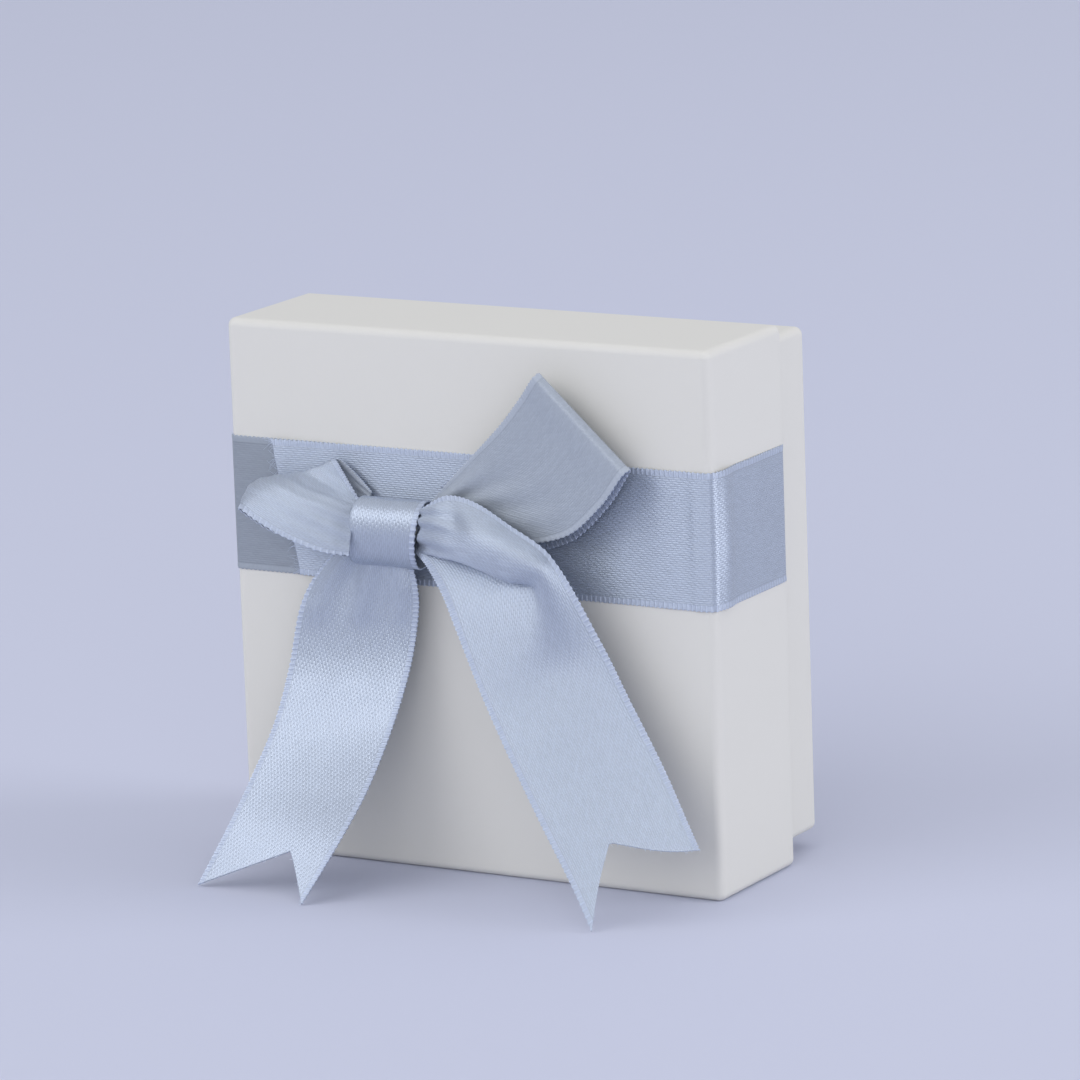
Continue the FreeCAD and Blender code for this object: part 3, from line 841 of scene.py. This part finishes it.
def knot_section(mm):
    """Across the knot's ribbon: its place in X and how deep its folded side lies."""
    face = KNOT_HIGH.x - KNOT_LOW.x - KNOT_FOLD
    bend = math.pi * KNOT_FOLD
    angle = (mm - face) / KNOT_FOLD
    on_bend = (mm >= face) & (mm < face + bend)
    under_it = mm >= face + bend
    x = np.where(mm < face, KNOT_HIGH.x - mm, 0.0)
    x = np.where(on_bend, KNOT_HIGH.x - face - KNOT_FOLD * np.sin(angle), x)
    x = np.where(under_it, KNOT_HIGH.x - face + (mm - face - bend), x)
    sunk = np.where(on_bend, KNOT_FOLD * (1 - np.cos(angle)), 0.0)
    sunk = np.where(under_it, 2 * KNOT_FOLD, sunk)
    mid_x = (KNOT_LOW.x + KNOT_HIGH.x) / 2
    crease = KNOT_CREASE * np.exp(-(((x - mid_x) / KNOT_CREASE_HALF) ** 2))
    return x, sunk + crease * (mm < face)


def knot_grid():
    """The ribbon wrapped once round the knot, its left side folded under."""
    half_y = (KNOT_HIGH.y - KNOT_LOW.y) / 2
    half_z = (KNOT_HIGH.z - KNOT_LOW.z) / 2
    mid_y, mid_z = (KNOT_LOW.y + KNOT_HIGH.y) / 2, (KNOT_LOW.z + KNOT_HIGH.z) / 2
    turn = np.linspace(math.radians(KNOT_START), math.radians(KNOT_START + KNOT_WRAP), KNOT_ROWS)[:, None]
    around = math.pi * (half_y + half_z) * KNOT_WRAP / 360
    mm = across_steps() * RIBBON_W
    x, sunk = knot_section(mm)
    radius = 1.0 - sunk[None, :] / half_z
    y = mid_y + half_y * radius * np.sin(turn)
    z = mid_z + half_z * radius * np.cos(turn)
    lean = KNOT_SLANT * (z - mid_z) / (2 * half_z)
    grid = np.stack([np.broadcast_to(x[None, :], z.shape) + lean, y, z], axis=-1)
    along = np.broadcast_to(np.linspace(0, around, KNOT_ROWS)[:, None], z.shape).copy()
    across = np.broadcast_to(mm[None, :], z.shape).copy()
    return grid, along, across, around


left_tail_parts = gathered(
    LEFT_TAIL, LEFT_TAIL_REACH, pleats=5.0, profile=LEFT_TAIL_FOLDS, swells=LEFT_TAIL_SWELLS,
    cut=notch_cut(depth=7.6, middle=0.64),
)
right_tail_parts = gathered(
    RIGHT_TAIL, RIGHT_TAIL_REACH, pleats=6.0, swells=RIGHT_TAIL_SWELLS, cut=notch_cut(depth=8.6, middle=0.40),
)
right_loop_parts = gathered(RIGHT_LOOP, RIGHT_LOOP_REACH, pleats=3.0)
left_loop_parts = gathered(LEFT_LOOP, LEFT_LOOP_REACH, pleats=7.0)
knot_parts = knot_grid()
tail_left = sheet_mesh("bow_tail_left_cloth", *left_tail_parts[:3])
tail_right = sheet_mesh("bow_tail_right_cloth", *right_tail_parts[:3])
loop_right = sheet_mesh("bow_loop_right_cloth", *right_loop_parts[:3], face_out=False)
loop_left = sheet_mesh("bow_loop_left_cloth", *left_loop_parts[:3])
knot = sheet_mesh("bow_knot_cloth", *knot_parts[:3])


FILAMENT_SIDES = 3
FILAMENT_JOINTS = 5
FILAMENT_ROOT = 0.3      # how far inside the cut edge a filament starts


def filament(chance, root, run, outward, facing, longest):
    """The points of one loose filament, a thin bent tube, ring by ring."""
    reach = longest * chance.uniform(0.25, 1.0)
    lean = chance.uniform(-0.7, 0.7)
    curl = chance.uniform(-0.5, 0.5)
    rise = chance.uniform(0.05, 0.45)
    points = []
    for j in range(FILAMENT_JOINTS):
        t = j / (FILAMENT_JOINTS - 1)
        centre = (
            root - outward * FILAMENT_ROOT + outward * reach * t + run * reach * (lean * t + curl * t * t)
            + facing * reach * rise * t * t
        )
        thick = THREAD_R * (1 - 0.5 * t)
        for k in range(FILAMENT_SIDES):
            turn = 2 * math.pi * k / FILAMENT_SIDES
            points.append(centre + thick * (run * math.cos(turn) + facing * math.sin(turn)))
    return points


def filament_faces(first):
    """The faces of a filament whose points start at number first."""
    faces = []
    for j in range(FILAMENT_JOINTS - 1):
        for k in range(FILAMENT_SIDES):
            a = first + j * FILAMENT_SIDES + k
            b = first + j * FILAMENT_SIDES + (k + 1) % FILAMENT_SIDES
            faces.append((a, b, b + FILAMENT_SIDES, a + FILAMENT_SIDES))
    last = first + (FILAMENT_JOINTS - 1) * FILAMENT_SIDES
    faces.append(tuple(first + k for k in reversed(range(FILAMENT_SIDES))))
    faces.append(tuple(last + k for k in range(FILAMENT_SIDES)))
    return faces


def frays(name, edge, outward, facing, count, longest, seed):
    """Loose filaments along a cut edge."""
    chance = random.Random(seed)
    vertices, faces = [], []
    for _ in range(count):
        at = chance.random() * (len(edge) - 1)
        low = int(at)
        root = edge[low] + (edge[low + 1] - edge[low]) * (at - low)
        run = edge[low + 1] - edge[low]
        run = run / np.linalg.norm(run)
        faces += filament_faces(len(vertices))
        vertices += filament(chance, root, run, outward, facing, longest)
    mesh = bpy.data.meshes.new(name)
    mesh.from_pydata(above_floor(np.array(vertices)).tolist(), [], faces)
    mesh.materials.append(thread)
    piece = add_object(name, mesh)
    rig.ride(piece, "lid")
    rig.slot(piece, "satin_ribbon")
    return piece


def cut_end_frays(name, grid, count, longest, seed):
    """Filaments along the end of a ribbon piece."""
    edge = grid[-1]
    outward = unit((grid[-1] - grid[-2]).mean(axis=0)[None])[0]
    facing = unit(surface_normals(grid)[-1].mean(axis=0)[None])[0]
    return frays(name, edge, outward, facing, count, longest, seed)


lengths_mm = {
    "ribbon_band": band_length, "ribbon_band_left_end": under_length, "bow_tail_left": left_tail_parts[3],
    "bow_tail_right": right_tail_parts[3], "bow_loop_right": right_loop_parts[3],
    "bow_loop_left": left_loop_parts[3], "bow_knot": knot_parts[3],
}
LOOSE_THREADS = {
    "ribbon_band": [cut_end_frays("band_end_threads", band_grid, 90, 1.7, 11)],
    "bow_tail_left": [cut_end_frays("left_tail_threads", left_tail_parts[0], 46, 0.9, 12)],
    "bow_tail_right": [cut_end_frays("right_tail_threads", right_tail_parts[0], 50, 0.9, 13)],
}
RIBBON_PIECES = [
    (band, "ribbon_band", "stretched", ["lid_wrap", "band_tape_right"]),
    (under, "ribbon_band_left_end", "stretched", ["lid_wrap", "band_tape_left"]),
    (knot, "bow_knot", "folded", ["bow_glue_dot"]),
    (tail_left, "bow_tail_left", "hung", ["bow_knot_cloth"]),
    (tail_right, "bow_tail_right", "hung", ["bow_knot_cloth"]),
    (loop_left, "bow_loop_left", "folded", ["bow_knot_cloth"]),
    (loop_right, "bow_loop_right", "folded", ["bow_knot_cloth"]),
]
for piece, node, held, rests_on in RIBBON_PIECES:
    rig.ride(piece, "lid")
    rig.replaces(piece, node)
    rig.slot(piece, "satin_ribbon")
    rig.sheet(
        piece, flat=(RIBBON_W * MM, lengths_mm[node] * MM), held=held, rests_on=rests_on,
        with_pieces=LOOSE_THREADS.get(node, []),
    )

# ======================= foam pads and velvet =======================
PAD_CORNER = 1.6         # corner radius of a cut foam pad, seen from above
PAD_EDGE = 0.9           # and of its upper edge
TOP_ROOM = 0.45          # a pad starts this much lower than its space, and swells into it
SIDE_ROOM = 0.20
VELVET_T = 0.38
BIGGER = 10.0            # the cloth solver works on a copy ten times the size
SWELL_FRAMES = 20
SWELL_PRESSURE = 4.0
SWELL_LEVEL = 2.2        # how early the swelling levels off towards its full amount
LIP_DENT = 0.55          # depth of the soft lips of a slit
LIP_HALF = 1.3           # and how far they reach from it
CUT_HALF = 0.42          # half the width of the cut itself


def pad_lines(half, depth, coarse=1.5, fine=0.28, spans=()):
    """Grid lines over a pad and down its sides, finer at the edge and in the spans given."""
    length = half - PAD_EDGE + math.pi / 2 * PAD_EDGE + depth - PAD_EDGE
    spans = [(half - PAD_CORNER, half + PAD_EDGE), *spans]
    lines = [0.0]
    while lines[-1] < length:
        at = lines[-1]
        inside = any(low <= at <= high for low, high in spans)
        ahead = min([low - at for low, high in spans if low > at] or [coarse])
        lines.append(at + (fine if inside else min(coarse, max(ahead, fine))))
    lines = np.array(lines) * length / lines[-1]
    return np.concatenate([-lines[:0:-1], lines])


def pad_cap(half, depth, across, along):
    """The top and sides of a pad lying on y = depth with its top at y = 0, as one grid of points."""
    inner = half - PAD_CORNER
    u, v = np.meshgrid(across, along, indexing="ij")
    past_u = np.maximum(np.abs(u) - inner, 0)
    past_v = np.maximum(np.abs(v) - inner, 0)
    past = np.maximum(past_u, past_v)
    angle = np.arctan2(past_v, np.maximum(past_u, 1e-9))
    flat = PAD_CORNER - PAD_EDGE
    bend = np.clip((past - flat) / PAD_EDGE, 0, math.pi / 2)
    radial = np.minimum(past, flat) + PAD_EDGE * np.sin(bend)
    drop = PAD_EDGE * (1 - np.cos(bend)) + np.maximum(past - flat - math.pi / 2 * PAD_EDGE, 0)
    on_top = (past <= 0)
    x = np.where(on_top, u, np.sign(u) * (np.minimum(np.abs(u), inner) + radial * np.cos(angle)))
    z = np.where(on_top, v, np.sign(v) * (np.minimum(np.abs(v), inner) + radial * np.sin(angle)))
    return np.stack([x, drop, z], axis=-1)


def object_from(name, vertices, faces, material):
    mesh = bpy.data.meshes.new(name)
    mesh.from_pydata(vertices.tolist(), [], faces.tolist())
    work = bmesh.new()
    work.from_mesh(mesh)
    bmesh.ops.remove_doubles(work, verts=work.verts, dist=1e-7)
    bmesh.ops.recalc_face_normals(work, faces=work.faces)
    work.to_mesh(mesh)
    work.free()
    for polygon in mesh.polygons:
        polygon.use_smooth = True
    if material:
        mesh.materials.append(material)
    return add_object(name, mesh)


def swell_skin(skin, pinned):
    """Runs the cloth solver on a pad's skin under pressure and gives how far each point moved."""
    start = np.array([vertex.co for vertex in skin.data.vertices])
    skin.vertex_groups.new(name="glued").add(pinned, 1.0, "REPLACE")
    cloth = skin.modifiers.new("swell", "CLOTH")
    cloth.settings.use_pressure = True
    cloth.settings.uniform_pressure_force = SWELL_PRESSURE
    cloth.settings.vertex_group_mass = "glued"
    cloth.settings.effector_weights.gravity = 0.0
    cloth.point_cache.frame_start = 1
    cloth.point_cache.frame_end = SWELL_FRAMES
    for number in range(1, SWELL_FRAMES + 1):
        bpy.context.scene.frame_set(number)
    swollen = skin.evaluated_get(bpy.context.evaluated_depsgraph_get()).data.vertices
    moved = np.array([vertex.co for vertex in swollen]) - start
    bpy.data.objects.remove(skin, do_unlink=True)
    bpy.context.scene.frame_set(1)
    return moved


def cloth_swell(half, depth):
    """How far each part of a pad's top and sides swells, in millimetres outwards, by a cloth
    simulation of its skin under pressure. The glued face is pinned. The pad itself uses only
    the pattern of this, because swollen_cap sets the amount."""
    lines = pad_lines(half, depth, coarse=3.0, fine=0.9)
    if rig.quick():
        return lines, np.zeros((len(lines), len(lines)))
    cap = pad_cap(half, depth, lines, lines)
    faces, grid = grid_faces(len(lines), len(lines))
    glued = np.stack([cap[..., 0], np.full_like(cap[..., 0], depth), cap[..., 2]], axis=-1)
    vertices = np.concatenate([cap.reshape(-1, 3), glued.reshape(-1, 3)]) * MM * BIGGER
    skin = object_from("pad_skin", vertices, np.concatenate([faces, faces[:, ::-1] + grid.size]), None)
    start = np.array([vertex.co for vertex in skin.data.vertices])
    deep = depth * MM * BIGGER
    moved = swell_skin(skin, [i for i, place in enumerate(start) if place[1] > deep - 1e-5])
    tree = KDTree(len(start))
    for i, place in enumerate(start):
        tree.insert(place, i)
    tree.balance()
    nearest = [tree.find(place)[1] for place in vertices[:grid.size]]
    moved = moved[nearest].reshape(len(lines), len(lines), 3)
    outward = (moved * -surface_normals(cap)).sum(axis=-1) / (MM * BIGGER)
    return lines, np.maximum(outward, 0)


def swollen_cap(half, depth, lines_u, lines_v, swelling):
    """A pad's cap that starts inside its space and swells into it. The simulation gives where it
    swells most, and TOP_ROOM and SIDE_ROOM give how much."""
    coarse, amount = swelling
    full = max(amount.max(), 1e-6)
    share = np.tanh(SWELL_LEVEL * amount / full)
    share = np.array([np.interp(lines_v, coarse, row) for row in share])
    share = np.array([np.interp(lines_u, coarse, column) for column in share.T]).T
    cap = pad_cap(half - SIDE_ROOM, depth, lines_u, lines_v)
    out = -surface_normals(cap)
    facing_up = np.clip(-out[..., 1], 0, 1)
    cap[..., 1] += TOP_ROOM * np.clip(1 - cap[..., 1] / depth, 0, 1)
    room = SIDE_ROOM + (TOP_ROOM - SIDE_ROOM) * facing_up
    cap += out * (room * share)[..., None]
    cap[..., 1] = np.clip(cap[..., 1], 0, depth)
    return cap


def slit_dent(x, z, wider):
    """How deep the pad's top is pressed in by its slits and by the two holes for earring posts.
    Wider is how many millimetres are added to each side of every cut."""
    dent = np.zeros_like(x)
    for middle, half_length, angle, depth in SLITS:
        c, n = math.cos(angle), math.sin(angle)
        run = (x - middle[0]) * c + (z - middle[1]) * n
        off = -(x - middle[0]) * n + (z - middle[1]) * c
        gap = np.maximum(np.hypot(np.maximum(np.abs(run) - half_length, 0), off) - wider, 0)
        lips = LIP_DENT * np.exp(-((gap / LIP_HALF) ** 2))
        dent = np.maximum(dent, lips + depth * np.exp(-((gap / CUT_HALF) ** 4)))
    return dent


def placed(cap, low, high, upward):
    """Moves a cap from its own frame to its box in the part's. Upward is -1 where its top faces
    the lid's front."""
    points = cap.copy()
    points[..., 1] = (high.y if upward > 0 else low.y) - upward * cap[..., 1]
    points[..., 0] += (low.x + high.x) / 2
    points[..., 2] += (low.z + high.z) / 2
    return points


def foam_piece(name, node, cap, upward):
    low, high = (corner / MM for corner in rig.box(node))
    top = placed(cap, low, high, upward)
    faces, grid = grid_faces(*top.shape[:2])
    glued = top.copy()
    glued[..., 1] = low.y if upward > 0 else high.y
    vertices = np.concatenate([top.reshape(-1, 3), glued.reshape(-1, 3)]) * MM
    return object_from(name, vertices, np.concatenate([faces, faces[:, ::-1] + grid.size]), white_foam)


def velvet_piece(name, node, cap):
    low, high = (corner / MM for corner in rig.box(node))
    face = placed(cap, low, high, -1)
    inner = face + surface_normals(face) * VELVET_T
    vertices = np.concatenate([face.reshape(-1, 3), inner.reshape(-1, 3)]) * MM
    return object_from(name, vertices, sheet_faces(*face.shape[:2])[0], pile)


def room_of(node):
    """Half the width and the depth of a pad's or a cover's space."""
    low, high = (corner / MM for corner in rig.box(node))
    return (high.x - low.x) / 2, high.y - low.y


# the middle, half length, turn and depth of each slit, seen from the front
RING_SLIT = ((0.0, 0.0), 12.6, 0.0, 2.0)
CHAIN_SLITS = [((side * 27.0, 27.0), 3.2, side * math.radians(-45), 1.8) for side in (-1, 1)]
POST_HOLES = [((side * 9.0, 12.0), 0.05, 0.0, 1.6) for side in (-1, 1)]
SLITS = [RING_SLIT, *CHAIN_SLITS, *POST_HOLES]
SLIT_SPANS_X = [(7.6, 10.4), (11.6, 14.0), (23.6, 30.4)]
SLIT_SPANS_Z = [(0.0, 1.5), (10.6, 13.4), (23.6, 30.4)]

FOAM_WIDER = 0.5         # the foam's cuts are this much wider on each side than the velvet's
LEAST_FOAM = 0.3         # left under a cut

lid_pad_half, lid_pad_depth = room_of("lid_foam_pad")
lid_swelling = cloth_swell(lid_pad_half, lid_pad_depth)
lid_lines = pad_lines(lid_pad_half, lid_pad_depth)
lid_cap = swollen_cap(lid_pad_half, lid_pad_depth, lid_lines, lid_lines, lid_swelling)
lid_pad = foam_piece("lid_foam_cushion", "lid_foam_pad", lid_cap, 1)
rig.ride(lid_pad, "lid")
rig.replaces(lid_pad, "lid_foam_pad")
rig.slot(lid_pad, "foam")
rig.padded(lid_pad, fill=0.8)

pad_half, pad_depth = room_of("insert_foam")
pad_swelling = cloth_swell(pad_half, pad_depth)
foam_x = pad_lines(pad_half, pad_depth, spans=SLIT_SPANS_X)
foam_z = pad_lines(pad_half, pad_depth, spans=SLIT_SPANS_Z)
foam_cap = swollen_cap(pad_half, pad_depth, foam_x, foam_z, pad_swelling)
foam_dent = slit_dent(foam_cap[..., 0], foam_cap[..., 2], FOAM_WIDER)
foam_cap[..., 1] = np.minimum(foam_cap[..., 1] + foam_dent, pad_depth - LEAST_FOAM)
insert_pad = foam_piece("insert_foam_cushion", "insert_foam", foam_cap, -1)
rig.ride(insert_pad, "insert")
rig.replaces(insert_pad, "insert_foam")
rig.slot(insert_pad, "foam")
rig.padded(insert_pad, fill=0.85)

cover_half, cover_depth = room_of("insert_velvet")
cover_x = pad_lines(cover_half, cover_depth, spans=SLIT_SPANS_X)
cover_z = pad_lines(cover_half, cover_depth, spans=SLIT_SPANS_Z)
cover_cap = swollen_cap(cover_half, cover_depth, cover_x, cover_z, pad_swelling)
over_foam = slit_dent(cover_cap[..., 0], cover_cap[..., 2], 0.0)
cover_cap[..., 1] += np.where(cover_cap[..., 1] < pad_depth, over_foam, 0.0)
cover = velvet_piece("insert_velvet_cover", "insert_velvet", cover_cap)
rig.ride(cover, "insert")
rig.replaces(cover, "insert_velvet")
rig.slot(cover, "velvet")
COVER_W = 2 * (cover_half + cover_depth)
COVER_AREA = COVER_W**2 - 4 * cover_depth**2
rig.sheet(
    cover, flat=(COVER_W * MM, COVER_W * MM), held="stretched", rests_on=["insert_foam_cushion"],
    area=COVER_AREA * MM**2,
)

# ======================= floor, light, camera =======================
FLOOR_HALF = 6.0         # metres
FLOOR_COLOUR = (0.575, 0.60, 0.735)
LIGHT_TARGET = Vector((0, 0, 0.04))
# name, place, width and height, power in watts, colour
SOFT_LIGHTS = [
    ("right_box", (2.4, 0.8, 0.95), (1.3, 1.5), 27.0, (0.99, 0.99, 1.0)),
    ("front_box", (-1.4, -2.05, 1.55), (2.8, 1.2), 21.5, (0.99, 0.995, 1.0)),
    ("fill_box", (1.1, -2.45, 0.95), (2.2, 1.2), 15.0, (1.0, 1.0, 1.0)),
    ("top_box", (0.3, 0.6, 2.4), (1.4, 1.4), 4.0, (1.0, 1.0, 1.0)),
]

floor_mesh = bpy.data.meshes.new("floor")
floor_corners = [(x * FLOOR_HALF, y * FLOOR_HALF, 0) for x, y in ((-1, -1), (1, -1), (1, 1), (-1, 1))]
floor_mesh.from_pydata(floor_corners, [], [(0, 1, 2, 3)])
floor = add_object("floor", floor_mesh)
floor_paint = Shader("floor_paint").finish(Base_Color=FLOOR_COLOUR, Roughness=0.75, Specular_IOR_Level=0.2)
floor_mesh.materials.append(floor_paint)
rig.stage(floor)


def point_along(thing, direction):
    """Turns a light so that it shines along a direction."""
    thing.rotation_mode = "QUATERNION"
    thing.rotation_quaternion = direction.to_track_quat("-Z", "Y")


def soft_light(name, place, size, power, colour):
    data = bpy.data.lights.new(name, "AREA")
    data.shape = "RECTANGLE"
    data.size, data.size_y = size
    data.energy = power
    data.color = colour
    light = add_object(name, data)
    light.location = place
    point_along(light, LIGHT_TARGET - Vector(place))


for setting in SOFT_LIGHTS:
    soft_light(*setting)

sky_data = bpy.data.lights.new("sky", "SUN")
sky_data.energy = 0.40
sky_data.angle = math.radians(80)
point_along(add_object("sky", sky_data), Vector((0.30, 0.62, -0.72)))

world = bpy.data.worlds.new("room")
bpy.context.scene.world = world
world.use_nodes = True
background = world.node_tree.nodes["Background"]
background.inputs["Color"].default_value = (0.91, 0.93, 1.0, 1.0)
background.inputs["Strength"].default_value = 0.57
bpy.context.scene.view_settings.view_transform = "Standard"

CAMERA_AT = Vector((469.3, -796.2, 249.2)) * MM
CAMERA_PITCH = 0.2149
CAMERA_YAW = -0.5275
CAMERA_ROLL = -0.0351
SENSOR = 36.0
LENS = 216.7

flat = math.cos(CAMERA_PITCH)
forward = Vector((math.sin(CAMERA_YAW) * flat, math.cos(CAMERA_YAW) * flat, -math.sin(CAMERA_PITCH)))
level = Vector((math.cos(CAMERA_YAW), -math.sin(CAMERA_YAW), 0.0))
upright = level.cross(forward)
right = level * math.cos(CAMERA_ROLL) + upright * math.sin(CAMERA_ROLL)
up = upright * math.cos(CAMERA_ROLL) - level * math.sin(CAMERA_ROLL)
camera_data = bpy.data.cameras.new("camera")
camera_data.lens = LENS
camera_data.sensor_width = SENSOR
camera_data.clip_start = 0.01
camera_data.clip_end = 50.0
camera = add_object("camera", camera_data)
camera_turn = Matrix((right, up, -forward)).transposed()
camera.matrix_world = Matrix.Translation(CAMERA_AT) @ camera_turn.to_4x4()
bpy.context.scene.camera = camera

visual_low, visual_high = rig.bounds()
sizes = {"cad": [list(cad_low), list(cad_high)], "visual": [list(visual_low), list(visual_high)]}
with open("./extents.json", "w") as size_file:
    json.dump(sizes, size_file)
